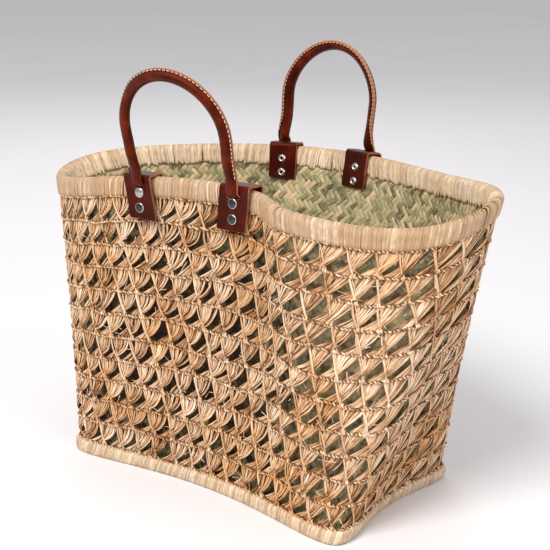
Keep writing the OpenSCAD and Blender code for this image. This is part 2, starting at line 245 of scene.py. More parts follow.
class Strips:
    """Collects swept strips, which become one mesh."""

    def __init__(self):
        self.points, self.quads, self.tones, self.grains = [], [], [], []
        self.count = 0

    def keep(self, rings, tone, grain, quads):
        self.points.append(rings.reshape(-1, 3))
        self.tones.append(tone.ravel())
        self.grains.append(grain.reshape(-1, 3))
        self.quads.append(quads + self.count)
        self.count += len(self.points[-1])

    def add(self, centre, normal, width, thickness, tone,
            profile=LENS, closed=False, edge=0.0, behind=0.0):
        """centre and normal are (strips, points, 3). Width, thickness and tone spread over
        (strips, points). The tone falls by edge at a strip's edges, a painted shade for the
        edges, and by behind on the side that faces along the normal, a painted shade for where
        that side lies in shadow."""
        shape = centre.shape[:2]
        along = run_along(centre, closed)
        side = unit(np.cross(along, normal))
        face = np.cross(side, along)
        across = np.broadcast_to(np.asarray(width) / 2, shape)[:, :, None] * profile[:, 0]
        proud = np.broadcast_to(np.asarray(thickness) / 2, shape)[:, :, None] * profile[:, 1]
        tone = np.broadcast_to(tone, shape)[:, :, None]
        behind = np.broadcast_to(behind, shape)[:, :, None]
        # painted shade: the tone is lowered at each strip's edges (edge) and on its face along
        # the normal (behind)
        tone = tone - edge * np.abs(profile[:, 0]) ** 2 - behind * (profile[:, 1] > 0.5)

        steps = np.linalg.norm(np.diff(centre, axis=1), axis=-1)
        run = np.concatenate([np.zeros((shape[0], 1)), np.cumsum(steps, axis=1)], axis=1)
        number = np.arange(shape[0])[:, None, None] * 7.3
        grain = np.stack(np.broadcast_arrays(across, run[:, :, None], number), -1)
        quads = strip_quads(*shape, len(profile), closed)
        self.keep(swept(centre, side, across, face, proud), tone, grain, quads)

    def add_rings(self, rings, tone=0.5):
        """One tube whose rings are given, (rings, sides, 3), with its ends capped. The tone
        spreads over (rings, sides)."""
        tone = np.broadcast_to(tone, rings.shape[:2])
        self.keep(rings, tone, rings, strip_quads(1, *rings.shape[:2], False))

    def mesh(self, name):
        mesh = bpy.data.meshes.new(name)
        points = np.concatenate(self.points) * MM
        quads = np.concatenate(self.quads)
        mesh.vertices.add(len(points))
        mesh.vertices.foreach_set("co", points.astype(np.float32).ravel())
        mesh.loops.add(quads.size)
        mesh.loops.foreach_set("vertex_index", quads.astype(np.int32).ravel())
        mesh.polygons.add(len(quads))
        starts = np.arange(0, quads.size, 4, dtype=np.int32)
        mesh.polygons.foreach_set("loop_start", starts)
        mesh.polygons.foreach_set("use_smooth", np.ones(len(quads), bool))
        mesh.update(calc_edges=True)
        write_attribute(mesh, "tone", "FLOAT", np.concatenate(self.tones))
        write_attribute(mesh, "grain", "FLOAT_VECTOR", np.concatenate(self.grains))
        return mesh

    def piece(self, name, *facts):
        return add_piece(name, self.mesh(name), *facts)


def write_attribute(mesh, name, kind, values):
    key = "vector" if kind == "FLOAT_VECTOR" else "value"
    attribute = mesh.attributes.new(name, kind, "POINT")
    attribute.data.foreach_set(key, values.astype(np.float32).ravel())


def strip_quads(strips, points, sides, closed):
    """Faces of strips whose rings hold that many sides, with caps unless closed."""
    ring = np.arange(sides)
    turned = (ring + 1) % sides
    first = np.arange(points if closed else points - 1)
    second = (first + 1) % points
    corners = ((first, ring), (second, ring), (second, turned), (first, turned))
    quads = np.stack([row[:, None] * sides + side for row, side in corners], -1).reshape(-1, 4)
    if not closed:
        cap = np.array([(0, i, i + 1, i + 2) for i in range(1, sides - 2, 2)])
        far = cap[:, ::-1] + (points - 1) * sides
        quads = np.concatenate([quads, cap, far])
    start = np.arange(strips) * points * sides
    return (start[:, None, None] + quads).reshape(-1, 4)


def linked(name, data):
    thing = bpy.data.objects.new(name, data)
    bpy.context.scene.collection.objects.link(thing)
    return thing


def add_piece(name, mesh, material, slot, nodes=()):
    """Links a mesh as a piece that rides on the basket and stands for some CAD nodes."""
    piece = linked(name, mesh)
    mesh.materials.append(material)
    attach(piece, BASKET)
    if nodes:
        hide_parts(*nodes)
    return piece


def set_all(target, **settings):
    for key, value in settings.items():
        setattr(target, key, value)


# ---- materials ----


def linear(red, green, blue):
    """A linear colour from 0 to 255 display values."""
    parts = [v / 255 for v in (red, green, blue)]
    return [v / 12.92 if v <= 0.04045 else ((v + 0.055) / 1.055) ** 2.4 for v in parts] + [1]


class Nodes:
    """A short way to write a material's nodes."""

    def __init__(self, name):
        self.material = bpy.data.materials.new(name)
        self.material.use_nodes = True
        self.tree = self.material.node_tree
        self.shader = self.tree.nodes["Principled BSDF"]

    def feed(self, node, inputs):
        """Gives each input another node's output, or else a number or colour."""
        for key, value in inputs.items():
            if isinstance(value, bpy.types.NodeSocket):
                self.tree.links.new(value, node.inputs[key])
            else:
                node.inputs[key].default_value = value

    def new(self, kind, inputs, output, **settings):
        node = self.tree.nodes.new(kind)
        set_all(node, **settings)
        self.feed(node, inputs)
        return node.outputs[output]

    def attribute(self, name, output="Fac"):
        return self.new("ShaderNodeAttribute", {}, output, attribute_name=name)

    def coordinates(self):
        return self.new("ShaderNodeTexCoord", {}, "Object")

    def stretched(self, vector, scale):
        return self.new("ShaderNodeMapping", {"Vector": vector, "Scale": scale}, "Vector")

    def noise(self, vector, scale, detail=2.0, roughness=0.5):
        inputs = {"Vector": vector, "Scale": scale, "Detail": detail, "Roughness": roughness}
        return self.new("ShaderNodeTexNoise", inputs, "Fac")

    def ramp(self, value, stops):
        """Colours from a value. The stops are (position, red, green, blue)."""
        node = self.tree.nodes.new("ShaderNodeValToRGB")
        self.feed(node, {"Fac": value})
        elements = node.color_ramp.elements
        while len(elements) < len(stops):
            elements.new(1.0)
        for element, (position, *colour) in zip(elements, stops):
            element.position = position
            element.color = linear(*colour)
        return node.outputs["Color"]

    def maths(self, operation, first, second):
        return self.new("ShaderNodeMath", {0: first, 1: second}, "Value", operation=operation)

    def span(self, value, low, high, to_low=0.0, to_high=1.0):
        ends = {"From Min": low, "From Max": high, "To Min": to_low, "To Max": to_high}
        return self.new("ShaderNodeMapRange", {"Value": value, **ends}, "Result")

    def mix(self, share, first, second, blend="MIX"):
        inputs = {0: share, 6: first, 7: second}
        return self.new("ShaderNodeMix", inputs, 2, data_type="RGBA", blend_type=blend)

    def bump(self, height, strength, distance):
        inputs = {"Height": height, "Strength": strength, "Distance": distance}
        self.feed(self.shader, {"Normal": self.new("ShaderNodeBump", inputs, "Normal")})

    def finish(self, colour, roughness, **sockets):
        others = {key.replace("_", " "): value for key, value in sockets.items()}
        self.feed(self.shader, {"Base Color": colour, "Roughness": roughness, **others})
        return self.material


def fibre_material(name, stops, patch, patch_share, roughness=(0.5, 0.75), streak=0.35):
    """A plant fibre: each strip has its own tone, streaks run along it, and slow patches of
    another colour lie over the whole."""
    m = Nodes(name)
    grain = m.attribute("grain", "Vector")
    streaks = m.noise(m.stretched(grain, (1.9, 0.07, 1.0)), 1.0, 3.0, 0.6)
    mottle = m.noise(m.stretched(grain, (0.35, 0.16, 1.0)), 1.0, 2.0, 0.5)
    streaked = m.span(streaks, 0.3, 0.7, -streak / 2, streak / 2)
    shade = m.maths("ADD", m.attribute("tone"), streaked)
    shade = m.maths("ADD", shade, m.span(mottle, 0.3, 0.7, -0.12, 0.12))
    patches = m.noise(m.coordinates(), 13.0, 2.0, 0.55)
    share = m.span(patches, 0.42, 0.68, 0.0, patch_share)
    colour = m.mix(share, m.ramp(shade, stops), linear(*patch), "MULTIPLY")
    m.bump(streaks, 0.5, 0.0004)
    return m.finish(colour, m.span(streaks, 0.3, 0.7, *roughness), Specular_IOR_Level=0.35)


RAFFIA_STOPS = (
    (0.0, 82, 50, 24), (0.2, 146, 100, 60), (0.4, 198, 156, 116),
    (0.62, 222, 188, 152), (0.82, 238, 212, 182), (1.0, 250, 230, 206),
)
WINDING_STOPS = (
    (0.0, 132, 88, 52), (0.3, 166, 130, 94), (0.65, 186, 158, 128), (1.0, 240, 218, 188),
)
# the darkest palm stops colour the lining's painted shade, behind the front lace and at strip
# edges
PALM_STOPS = (
    (0.0, 64, 41, 19), (0.2, 98, 72, 40), (0.38, 140, 134, 99), (0.5, 170, 159, 119),
    (0.64, 202, 181, 135), (0.8, 218, 184, 150), (1.0, 240, 220, 190),
)
raffia = fibre_material("raffia_lace", RAFFIA_STOPS, (238, 208, 160), 0.8)
winding = fibre_material(
    "raffia_winding", WINDING_STOPS, (250, 236, 216), 0.6, roughness=(0.5, 0.7), streak=0.26
)
palm = fibre_material(
    "palm_leaf", PALM_STOPS, (226, 228, 208), 0.5, roughness=(0.42, 0.62), streak=0.2
)

# ---- the lace ----

CELLS = 47  # cells round one course
DRIFT = 0.22  # cells by which each course stands left of the one below
LEAN = 0.32  # cells by which a cell's strand leans
FIBRES = 15  # fibres in a bundle
STITCHES = 6  # stitches of a knotted line in a cell
WISPS = 70  # loose ends in a course
LEAVES_END = (62.0, 16.0)  # x where the front's leaves give way to straight bundles, and fade
ENDS_LEAF = 60.0  # how far from the basket's ends the leaves fade
ENDS_DENSE = 75.0  # how far from them the lace is drawn closer


def line_knots(line):
    """Small rises and falls of one knotted line, one a cell."""
    size = 0.0 if line in (0, COURSES) else 0.9
    return np.random.default_rng(500 + line).normal(0, size, CELLS)


LINE_KNOTS = [line_knots(line) for line in range(COURSES + 1)]


def line_height(line, x, rise):
    """Height over the floor of a knotted line, where the wall is rise high."""
    share = line / COURSES
    lift = (RING_HEIGHT + 0.6) * (1 - share) - (RIM_DEPTH - 1.0) * share
    knots = LINE_KNOTS[line]
    low = np.floor(x).astype(int)
    part = x - low
    part = part * part * (3 - 2 * part)
    wave = knots[low % CELLS] * (1 - part) + knots[(low + 1) % CELLS] * part
    return share * rise + lift + wave


def on_lace(course, x, y, out):
    """Points and normals of the lace: x in cells round the basket, y from the course's lower
    line (0) to its upper one (1)."""
    x, y, out = np.broadcast_arrays(x, y, out)
    place = place_at(x / CELLS, (course - 1 + y) / COURSES)
    rise = read(RISE, place)
    low = line_height(course - 1, x, rise)
    height = low + (line_height(course, x, rise) - low) * y
    return wall(place, height, out), wall_normal(place, height, out)


def bezier(start, start_pull, end_pull, end, share):
    rest = 1 - share
    return (rest**3 * start + 3 * rest**2 * share * start_pull
            + 3 * rest * share**2 * end_pull + share**3 * end)


def leafiness(share, level):
    """How far the fans curve out into leaves: most where the front is dented, and least at its
    right-hand end, where the bundles run straight and slanting. From 0 to 1."""
    x, y = np.moveaxis(read(MOUTH, place_at(share, level)), -1, 0)
    ends = bell(np.abs(x), MOUTH_HALF_LENGTH, ENDS_LEAF)
    return np.where(y < 0, slope(x, *LEAVES_END), 0.6) * (1 - 0.5 * ends)


def density(share, level):
    """How close the lace is drawn round the two ends of the basket, from 0 to 1."""
    x = read(MOUTH, place_at(share, level))[..., 0]
    return bell(np.abs(x), MOUTH_HALF_LENGTH, ENDS_DENSE)


def lace_course(course):
    rng = np.random.default_rng(100 + course)
    strips = Strips()
    cell = np.arange(CELLS)[:, None, None] + DRIFT * (COURSES - course)
    top_x = cell + rng.normal(0, 0.05, (CELLS, 1, 1))
    lean = LEAN + rng.normal(0, 0.05, (CELLS, 1, 1))
    foot_x = top_x + lean
    add_bundles(strips, rng, course, top_x, foot_x, lean)
    add_strands(strips, rng, course, top_x[:, 0], foot_x[:, 0])
    add_knots(strips, rng, course, foot_x[:, 0])
    add_line(strips, rng, course, 1.0)
    if course == 1:
        add_line(strips, rng, course, 0.0)
    add_wisps(strips, rng, course)
    name = f"lace_course_{course:02d}"
    strips.piece(name + "_raffia", raffia, "raffia_lace", [name])


def ending(run, power):
    """From 0 in the middle of a run from 0 to 1, up to 1 at both its ends."""
    return np.abs(2 * run - 1) ** power


def add_bundles(strips, rng, course, top_x, foot_x, lean):
    """Fibres that rise from the lower line, gather under the leaning strand and fan out."""
    shape, cells = (CELLS, FIBRES, 1), (CELLS, 1, 1)
    order = np.linspace(0, 1, FIBRES)[None, :, None] + rng.normal(0, 0.05, shape)
    middle = (top_x / CELLS, (course - 0.5) / COURSES)
    leaf = np.clip(leafiness(*middle) + rng.normal(0, 0.12, cells), 0, 1.2)
    dense = density(*middle)
    gather_y = 0.46 - 0.28 * order + rng.normal(0, 0.025, shape)
    gather_x = top_x + lean * (1 - gather_y) + rng.normal(0, 0.015, shape)
    start_x = foot_x - 0.88 + 0.86 * order + rng.normal(0, 0.03, shape)
    spread = 0.80 + 0.10 * leaf + 0.14 * dense + rng.normal(0, 0.05, cells)
    end_x = top_x + (0.24 - 0.20 * leaf) + spread * order + rng.normal(0, 0.03, shape)

    rising = np.linspace(0, 1, 4, endpoint=False)
    low_x = start_x + (gather_x - start_x) * rising
    low_y = gather_y * rising**1.2 - 0.03 * (1 - rising)
    fanning = np.linspace(0, 1, 8)
    ahead_x, ahead_y = end_x - gather_x, 1.03 - gather_y
    swing = leaf * (0.25 + 0.75 * order)
    first_x = gather_x + 0.34 * ahead_x + 0.20 * swing
    second_x = end_x - 0.26 * ahead_x + 0.19 * swing
    first_y = gather_y + (0.30 - 0.10 * swing) * ahead_y
    second_y = gather_y + (0.72 - 0.06 * swing) * ahead_y
    x = np.concatenate([low_x, bezier(gather_x, first_x, second_x, end_x, fanning)], -1)
    y = np.concatenate([low_y, bezier(gather_y, first_y, second_y, 1.03, fanning)], -1)
    run = np.linspace(0, 1, x.shape[-1])
    bend = rng.uniform(0.006, 0.034, shape)
    x = x + bend * np.sin(run * rng.uniform(5, 12, shape) + rng.uniform(0, TURN, shape))

    pile = rng.uniform(-0.9, 0.9, shape)
    plump = rng.uniform(0.5, 1.4, cells)
    out = LACE_OUT - 0.5 + pile + 1.5 * np.sin(np.pi * run) * plump
    centre, normal = on_lace(course, x, y, out)
    twist = rng.normal(0, 0.35, shape) * np.sin(run * 5 + rng.uniform(0, TURN, shape))
    side = unit(np.cross(np.gradient(centre, axis=2), normal))
    normal = unit(normal + twist[..., None] * side)
    waist = bell(run, 0.36, 0.15)
    ends = ease(np.minimum(run, 1 - run), 0.12, 0)
    width = rng.uniform(1.3, 2.5, shape) * (1 - 0.35 * waist - 0.2 * ends) * (1 + 0.2 * dense)
    tone = rng.normal(0.62, 0.15, shape) + rng.normal(0, 0.06, cells)
    # painted shade: fibres darker at the waist, where they pass under the leaning strand, towards
    # their ends, where they go under the knotted lines, and where they lie deep in the pile
    tone = tone - 0.22 * waist - 0.28 * ends**2 - 0.12 * (pile < -0.4)
    flat = (CELLS * FIBRES, -1)
    centre, normal = centre.reshape(*flat, 3), normal.reshape(*flat, 3)
    strips.add(centre, normal, width.reshape(flat), 0.75, tone.reshape(flat), edge=0.22)


def add_strands(strips, rng, course, top_x, foot_x):
    """The strand that leans across each cell and binds its bundle, with a thin one beside."""
    run = np.linspace(0, 1, 9)
    y = 1.05 - 1.10 * run
    for offset, wide, lift in ((0.0, 2.0, 1.7), (0.085, 1.2, 1.2)):
        sway = 0.04 * np.sin(np.pi * run) * rng.normal(0, 1, (CELLS, 1))
        x = top_x + offset * (1 - run) + (foot_x - top_x) * run + sway
        out = LACE_OUT + lift * np.sin(np.pi * np.clip(run * 1.05, 0, 1)) ** 0.7 + 0.2
        grow = rng.uniform(0.8, 1.25, (CELLS, 1))
        width = wide * grow * (1 + 0.45 * run**4 + 0.15 * (1 - run) ** 3)
        # painted shade: darker towards both ends, where the strand goes under the knotted lines
        tone = rng.normal(0.64, 0.11, (CELLS, 1)) - 0.3 * ending(run, 4)
        strips.add(*on_lace(course, x, y, out), width, 0.8, tone, edge=0.2)


def add_knots(strips, rng, course, foot_x):
    """Short turns that tie each strand's foot to the line below it."""
    run = np.linspace(0, 1, 6)
    for turn in range(3):
        x_from = foot_x - 0.11 + 0.06 * turn + rng.normal(0, 0.025, (CELLS, 1))
        x_to = x_from + 0.07 + rng.normal(0, 0.03, (CELLS, 1))
        x = x_from + (x_to - x_from) * run
        out = LACE_OUT - 0.3 + 2.3 * np.sin(np.pi * run)
        # painted shade: darker towards both ends, where the turns go under the line
        tone = rng.normal(0.66, 0.14, (CELLS, 1)) - 0.3 * ending(run, 3)
        strips.add(*on_lace(course, x, 0.12 - 0.22 * run, out), 1.6, 0.7, tone, edge=0.2)


def add_line(strips, rng, course, y):
    """A knotted line: short slanting stitches, end over end, on a thin cord painted dark as the
    shade in the gaps between stitches.
    """
    x = np.linspace(0, CELLS, CELLS * 8, endpoint=False)
    centre, normal = on_lace(course, x, y, LACE_OUT + 1.0)
    # painted shade: a dark strip (tone 0.1) under the stitches stands for the shade in the gaps
    # between them
    strips.add(centre[None], normal[None], 2.3, 1.6, 0.1, closed=True)
    each = (CELLS * STITCHES, 1)
    run = np.linspace(0, 1, 5)
    middle = (np.arange(each[0])[:, None] + rng.normal(0, 0.14, each)) / STITCHES
    slant = rng.uniform(0.12, 0.23, each)
    reach = rng.uniform(0.025, 0.075, each)
    x = middle + slant * (run - 0.5)
    height = y - reach * (2 * run - 1) + rng.normal(0, 0.014, each)
    proud = rng.uniform(1.6, 2.5, each)
    out = LACE_OUT + 0.6 + proud * np.sin(np.pi * run) ** 0.8
    width = rng.uniform(1.2, 2.0, each) * (1 - 0.3 * ending(run, 2))
    # painted shade: each stitch darker towards its ends, where it tucks under its neighbours
    tone = rng.normal(0.68, 0.15, each) - 0.5 * ending(run, 2)
    strips.add(*on_lace(course, x, height, out), width, 0.95, tone, edge=0.25)


def add_wisps(strips, rng, course):
    """Loose fibre ends that stand off the lace."""
    each = (WISPS, 1)
    run = np.linspace(0, 1, 6)
    x = rng.uniform(0, CELLS, each) + rng.normal(0, 0.3, each) * run
    y = rng.uniform(0, 1, each) + rng.normal(0, 0.3, each) * run
    out = LACE_OUT + 1.2 + rng.uniform(0.6, 2.4, each) * run**2
    centre, normal = on_lace(course, x, np.clip(y, 0, 1.02), out)
    strips.add(centre, normal, 0.8 * (1 - 0.7 * run), 0.35, rng.normal(0.78, 0.12, each))


for course in range(1, COURSES + 1):
    lace_course(course)

# ---- the plaited lining ----

PLAIT = 168  # strips that run each way round the wall, a multiple of four
STRIP_WIDTH = 4.8
STRIP_THICKNESS = 0.55
MAT_REACH = 170.0  # the base mat's strips are laid out this far from its middle
PLAIT_LIFT = 0.32  # how far a strip rises and dips as it passes over and under


def twill(phase):
    """Over two and under two: a rounded square wave with a period of four crossings."""
    return np.clip(1.7 * np.sin(phase * TURN / 4 + TURN / 8), -1, 1)


def strip_tones(rng, strips):
    """Each strip's own tone, from olive to straw."""
    return np.clip(rng.normal(0.66, 0.13, (strips, 1)), 0.42, 1.0)


def painted_lining_shade(place, level):
    """Painted shade: how much darker the lining's outside is painted where it hangs well behind
    the front lace, in its shadow.
    """
    x, y = np.moveaxis(read(MOUTH, place), -1, 0)
    open_front = np.where(y < 0, slope(x, 55, 20), 0.5)
    hang = np.sin(np.pi * np.clip(level, 0, 1)) ** 0.6
    return 0.58 * open_front * hang * read(SIDE_SLACK, place) / LACE_SLACK


def liner_wall():
    rng = np.random.default_rng(31)
    spacing = (FOOT_LENGTH + MOUTH_LENGTH) / 2 / PLAIT
    low, top_tuck = 3.5, 15.0
    crossings = int(round(2 * (RIM_HEIGHT - top_tuck - low) / spacing))
    steps = np.linspace(0, crossings, 2 * crossings + 1)
    level = steps / crossings
    for hand, name in ((1, "liner_wall_right_strips"), (-1, "liner_wall_left_strips")):
        place = place_at((np.arange(PLAIT)[:, None] + hand * steps / 2) / PLAIT, level)
        height = low + (read(RISE, place) - top_tuck - low) * level
        # at each level every right-hand strip does the same, so floats lie in level rows
        rise = PLAIT_LIFT * hand * twill(steps)
        out = liner_offset(place, level) + rise
        width = STRIP_WIDTH * rng.uniform(0.9, 1.04, (PLAIT, 1))
        faded = np.repeat(rng.normal(0, 0.09, (PLAIT, len(steps) // 4 + 1)), 4, axis=1)
        tone = strip_tones(rng, PLAIT) + faded[:, : len(steps)]
        # painted shade: a strip is a little darker where it dips under the crossing strips
        tone = np.clip(tone, 0.44, 1.0) - 0.03 * (rise < 0)
        facts = (wall(place, height, out), wall_normal(place, height, out), width, tone)
        # painted shade: the lining's outside darkened where it hangs behind the front lace
        # (behind), and each strip's edges darkened (edge)
        behind = painted_lining_shade(place, level)
        for half in (1, 2):
            rows = slice((half - 1) * PLAIT // 2, half * PLAIT // 2)
            centre, normal, wide, toned = (fact[rows] for fact in facts)
            looks = {"profile": RIBBON, "edge": 0.2, "behind": behind[rows]}
            strips = Strips()
            strips.add(centre, normal, wide, STRIP_THICKNESS, toned, **looks)
            nodes = ["liner_wall"] if (hand, half) == (1, 1) else []
            strips.piece(f"{name}_{half}", palm, "palm_leaf", nodes)


def inside_foot(points, inset):
    """Which points lie inside the foot's outline, drawn in by inset."""
    edge = FOOT[::32] - inset * FOOT_NORMAL[::32]
    ahead = np.roll(edge, -1, axis=0)
    x, y = points[..., 0:1], points[..., 1:2]
    crosses = (edge[:, 1] > y) != (ahead[:, 1] > y)
    rise = ahead[:, 1] - edge[:, 1]
    rise = np.where(np.abs(rise) < 1e-9, 1e-9, rise)
    meets = edge[:, 0] + (y - edge[:, 1]) * (ahead[:, 0] - edge[:, 0]) / rise
    return (np.sum(crosses & (x < meets), axis=-1) % 2) == 1


def liner_base():
    """The flat mat inside the foot, plaited like the wall."""
    rng = np.random.default_rng(32)
    strips = Strips()
    pitch = STRIP_WIDTH * 1.04
    reach = int(2 * MAT_REACH / pitch)
    steps = np.arange(-2 * reach, 2 * reach + 1) / 2
    diagonal = math.sqrt(0.5)
    for hand in (1, -1):
        along = np.array([diagonal, hand * diagonal])
        aside = np.array([-hand * diagonal, diagonal]) * hand
        for number in range(-reach, reach + 1):
            flat = (steps * pitch)[:, None] * along + number * pitch * aside
            held = np.flatnonzero(inside_foot(flat, RING_OUT - LINER_OUT - 1.5))
            for run in np.split(held, np.flatnonzero(np.diff(held) > 1) + 1):
                if len(run) < 3:
                    continue
                lift = 1.5 + PLAIT_LIFT * hand * twill(hand * (steps[run] + number))
                centre = np.concatenate([flat[run], lift[:, None]], -1)[None]
                normal = np.broadcast_to([0.0, 0.0, 1.0], centre.shape)
                width = STRIP_WIDTH * rng.uniform(0.92, 1.03)
                tone = strip_tones(rng, 1)
                strips.add(centre, normal, width, STRIP_THICKNESS, tone, profile=RIBBON)
    strips.piece("liner_base_strips", palm, "palm_leaf", ["liner_base"])


liner_wall()
liner_base()

# ---- the wound rim and foot ring ----

RIM_PITCH = 1.62  # from one turn of raffia to the next
RING_PITCH = 1.7


def rim_section(share):
    """The rim winding's path, as [out, drop below the ridge]: up the inside, over, down."""
    low, high = 0.32, 0.68
    angle = ease(share, low, high) * np.pi
    straight = RIM_DEPTH - RIM_HALF - 0.5
    out = -np.cos(angle) * (RIM_HALF - 0.35)
    drop = RIM_HALF - np.sin(angle) * (RIM_HALF - 0.35)
    drop = np.where(share < low, RIM_HALF + straight * (low - share) / low, drop)
    return out, np.where(share > high, RIM_HALF + straight * (share - high) / (1 - high), drop)


def add_turns(name, turns, closed, look, nodes):
    """Turns of raffia round a rope, at (place, height, out), with a (width, thickness, tone)."""
    place, height, out = turns
    centre = wall(place, height, out)
    around = wall(place + PLACE_STEP, height, out) - centre
    across = run_along(centre, closed)
    normal = unit(np.cross(across, around) if closed else np.cross(around, across))
    strips = Strips()
    strips.add(centre, normal, *look, closed=closed, edge=0.16)
    strips.piece(name, winding, "raffia_winding", nodes)


def rim_winding():
    rng = np.random.default_rng(41)
    wraps = int(MOUTH_LENGTH / RIM_PITCH)
    each = (wraps, 1)
    share = np.linspace(0, 1, 19)
    out, drop = rim_section(share)
    start = (np.arange(wraps) + rng.normal(0, 0.22, wraps))[:, None] / wraps
    slant = 1.6 + rng.normal(0, 0.4, each)
    place = place_at(start + slant * (share - 0.5) / wraps, 1.0)
    reach = rng.uniform(-1.6, 3.4, each)
    smooth = (reach + np.roll(reach, 1, 0) + np.roll(reach, -1, 0)) / 3
    smooth = np.where(rng.uniform(0, 1, each) < 0.4, reach, smooth)
    tail = ease(share, 0.25, 0)
    proud = rng.uniform(-0.14, 0.18, each)
    sway = 0.22 * np.sin(start * TURN * 27) + 0.16 * np.sin(start * TURN * 61 + 2)
    tuck = 1.2 * ease(share, 0.05, 0) ** 2 - 2.6 * ease(share, 0.93, 1) ** 2
    section_out = out * (1 + (proud + sway) / RIM_HALF) + tuck
    height = read(RISE, place) - (drop + tail * smooth - proud * 0.5)
    width = rng.uniform(2.5, 3.3, each) * (1 - 0.25 * tail)
    tone = rng.normal(0.62, 0.1, each) + 0.05 * np.sin(start * TURN * 23)
    # painted light and shade: the inside face is painted lighter, as if better lit, and the
    # outside's lower end darker, as the shadow under the rim
    tone = tone + 0.28 * ease(share, 0.5, 0.3) - 0.3 * ease(share, 0.9, 1) ** 2
    turns = (place, height, section_out)
    nodes = ["rim_winding", "rim_rope"]
    add_turns("rim_winding_turns", turns, False, (width, 0.8, tone), nodes)


def ring_winding():
    rng = np.random.default_rng(42)
    wraps = int(FOOT_LENGTH / RING_PITCH)
    middle = (RING_OUT + RING_IN) / 2
    half_wide, half_high = (RING_OUT - RING_IN) / 2 - 0.4, RING_HEIGHT / 2 - 0.4
    angle = np.arange(20) * TURN / 20
    section_out = half_wide * signed_power(np.cos(angle), 0.6)
    section_z = RING_HEIGHT / 2 + half_high * signed_power(np.sin(angle), 0.6)
    start = (np.arange(wraps) + rng.normal(0, 0.18, wraps))[:, None] / wraps
    place = place_at(start + 1.4 * np.sin(angle + 0.6) / wraps, 0.0)
    out = middle + section_out * (1 + rng.uniform(-0.14, 0.16, (wraps, 1)) / half_wide)
    height = np.maximum(section_z, 0.42)
    width = rng.uniform(2.5, 3.3, (wraps, 1))
    tone = rng.normal(0.78, 0.08, (wraps, 1))
    nodes = ["foot_ring_winding", "foot_ring_core"]
    add_turns("foot_ring_turns", (place, height, out), True, (width, 0.75, tone), nodes)


rim_winding()
ring_winding()

# ---- where the tabs and hinges lie ----

# each tab's x, the skew of its foot, its spread, and how far its handle's leg stands aside
TABS = {
    "front_left": (-67.0, 7.0, 1.0, -1.5),
    "front_right": (34.0, -2.0, 1.08, -1.0),
    "back_left": (-60.0, 1.5, 1.0, 5.4),
    "back_right": (34.0, -1.5, 1.0, 4.2),
}
TAB_WIDTH = 30.0
TAB_THICKNESS = 2.2
TAB_OUT = 11.5  # outer face of the outer leg
TAB_IN = -9.6  # inner face of the inner leg
TAB_TOP = 3.4
TAB_CORNER = 4.0
OUTER_LEG = 38.0
INNER_LEG = 34.0
SLIT_LOW = -8.4
SLIT_HIGH = -4.0
SLIT_HALF = 6.9
RIVET_DEPTHS = (13.4, 27.6)
HINGE_OUT = {"front": 15.5, "back": 6.0}
HINGE_UP = {"front": 9.5, "back": 11.0}
HANDLE_LEAN = {"front": 14.0, "back": -4.0}
ARCH_RADIUS = {"front": 52.0, "back": 50.0}
ARCH_CENTRE = {"front": 39.0, "back": 44.0}


def turned(*degrees):
    """Rotation matrix that turns about X, then Y, then Z."""
    matrix = np.eye(3)
    for axis, angle in enumerate(np.radians(degrees)):
        a, b = (axis + 1) % 3, (axis + 2) % 3
        turn = np.eye(3)
        turn[a, a] = turn[b, b] = math.cos(angle)
        turn[b, a], turn[a, b] = math.sin(angle), -math.sin(angle)
        matrix = turn @ matrix
    return matrix


class TabPlace:
    """A tab's own axes: across along the rim, out of the basket, and up the wall."""

    def __init__(self, name):
        self.name, self.side = name, name.split("_")[0]
        x, self.skew, self.spread, self.leg_aside = TABS[name]
        sign = -1 if self.side == "front" else 1
        angle = np.array([sign * math.acos(x / MOUTH_HALF_LENGTH)])
        step = 0.001
        along = unit(mouth_outline(angle + step) - mouth_outline(angle - step))[0]
        foot_along = unit(foot_outline(angle + step) - foot_outline(angle - step))[0]
        outward = np.array([along[1], -along[0]])
        mouth = mouth_outline(angle)[0]
        foot = foot_outline(angle)[0] - RING_OUT * np.array([foot_along[1], -foot_along[0]])
        rise = float(mouth_rise(angle)[0])
        flare = math.degrees(math.atan2((foot - mouth) @ outward, rise))
        yaw = math.degrees(math.atan2(along[1], along[0]))
        self.origin = np.array([mouth[0], mouth[1], rise])
        axes = turned(-flare, 0, yaw)
        self.across, self.out, self.up = axes[:, 0], -axes[:, 1], axes[:, 2]

    def point(self, across, out, up):
        parts = [np.asarray(v, float)[..., None] for v in (across, out, up)]
        return self.origin + parts[0] * self.across + parts[1] * self.out + parts[2] * self.up


TAB_PLACES = [TabPlace(name) for name in TABS]

# ---- leather, metal and thread ----


def leather_material(name, stops, roughness):
    """Oiled leather: slow mottling, fine grain, and a pale cut edge where "cut" says so."""
    m = Nodes(name)
    place = m.coordinates()
    mottle = m.noise(place, 55.0, 4.0, 0.6)
    grain = m.noise(place, 900.0, 3.0, 0.65)
    cells = {"Scale": 1300.0, "Vector": place}
    pores = m.new("ShaderNodeTexVoronoi", cells, "Distance", feature="DISTANCE_TO_EDGE")
    shade = m.maths("ADD", mottle, m.span(grain, 0.3, 0.7, -0.08, 0.08))
    cut = m.attribute("cut")
    raw = m.mix(grain, linear(150, 86, 56), linear(200, 138, 98))
    colour = m.mix(cut, m.ramp(shade, stops), raw)
    height = m.maths("ADD", m.span(pores, 0.0, 0.25), m.maths("MULTIPLY", mottle, 2.0))
    m.bump(height, 0.22, 0.0003)
    gloss = m.span(mottle, 0.3, 0.7, roughness - 0.08, roughness + 0.1)
    gloss = m.maths("ADD", gloss, m.maths("MULTIPLY", cut, 0.25))
    return m.finish(colour, gloss, Specular_IOR_Level=0.45, Specular_Tint=(1.0, 0.22, 0.1, 1.0))


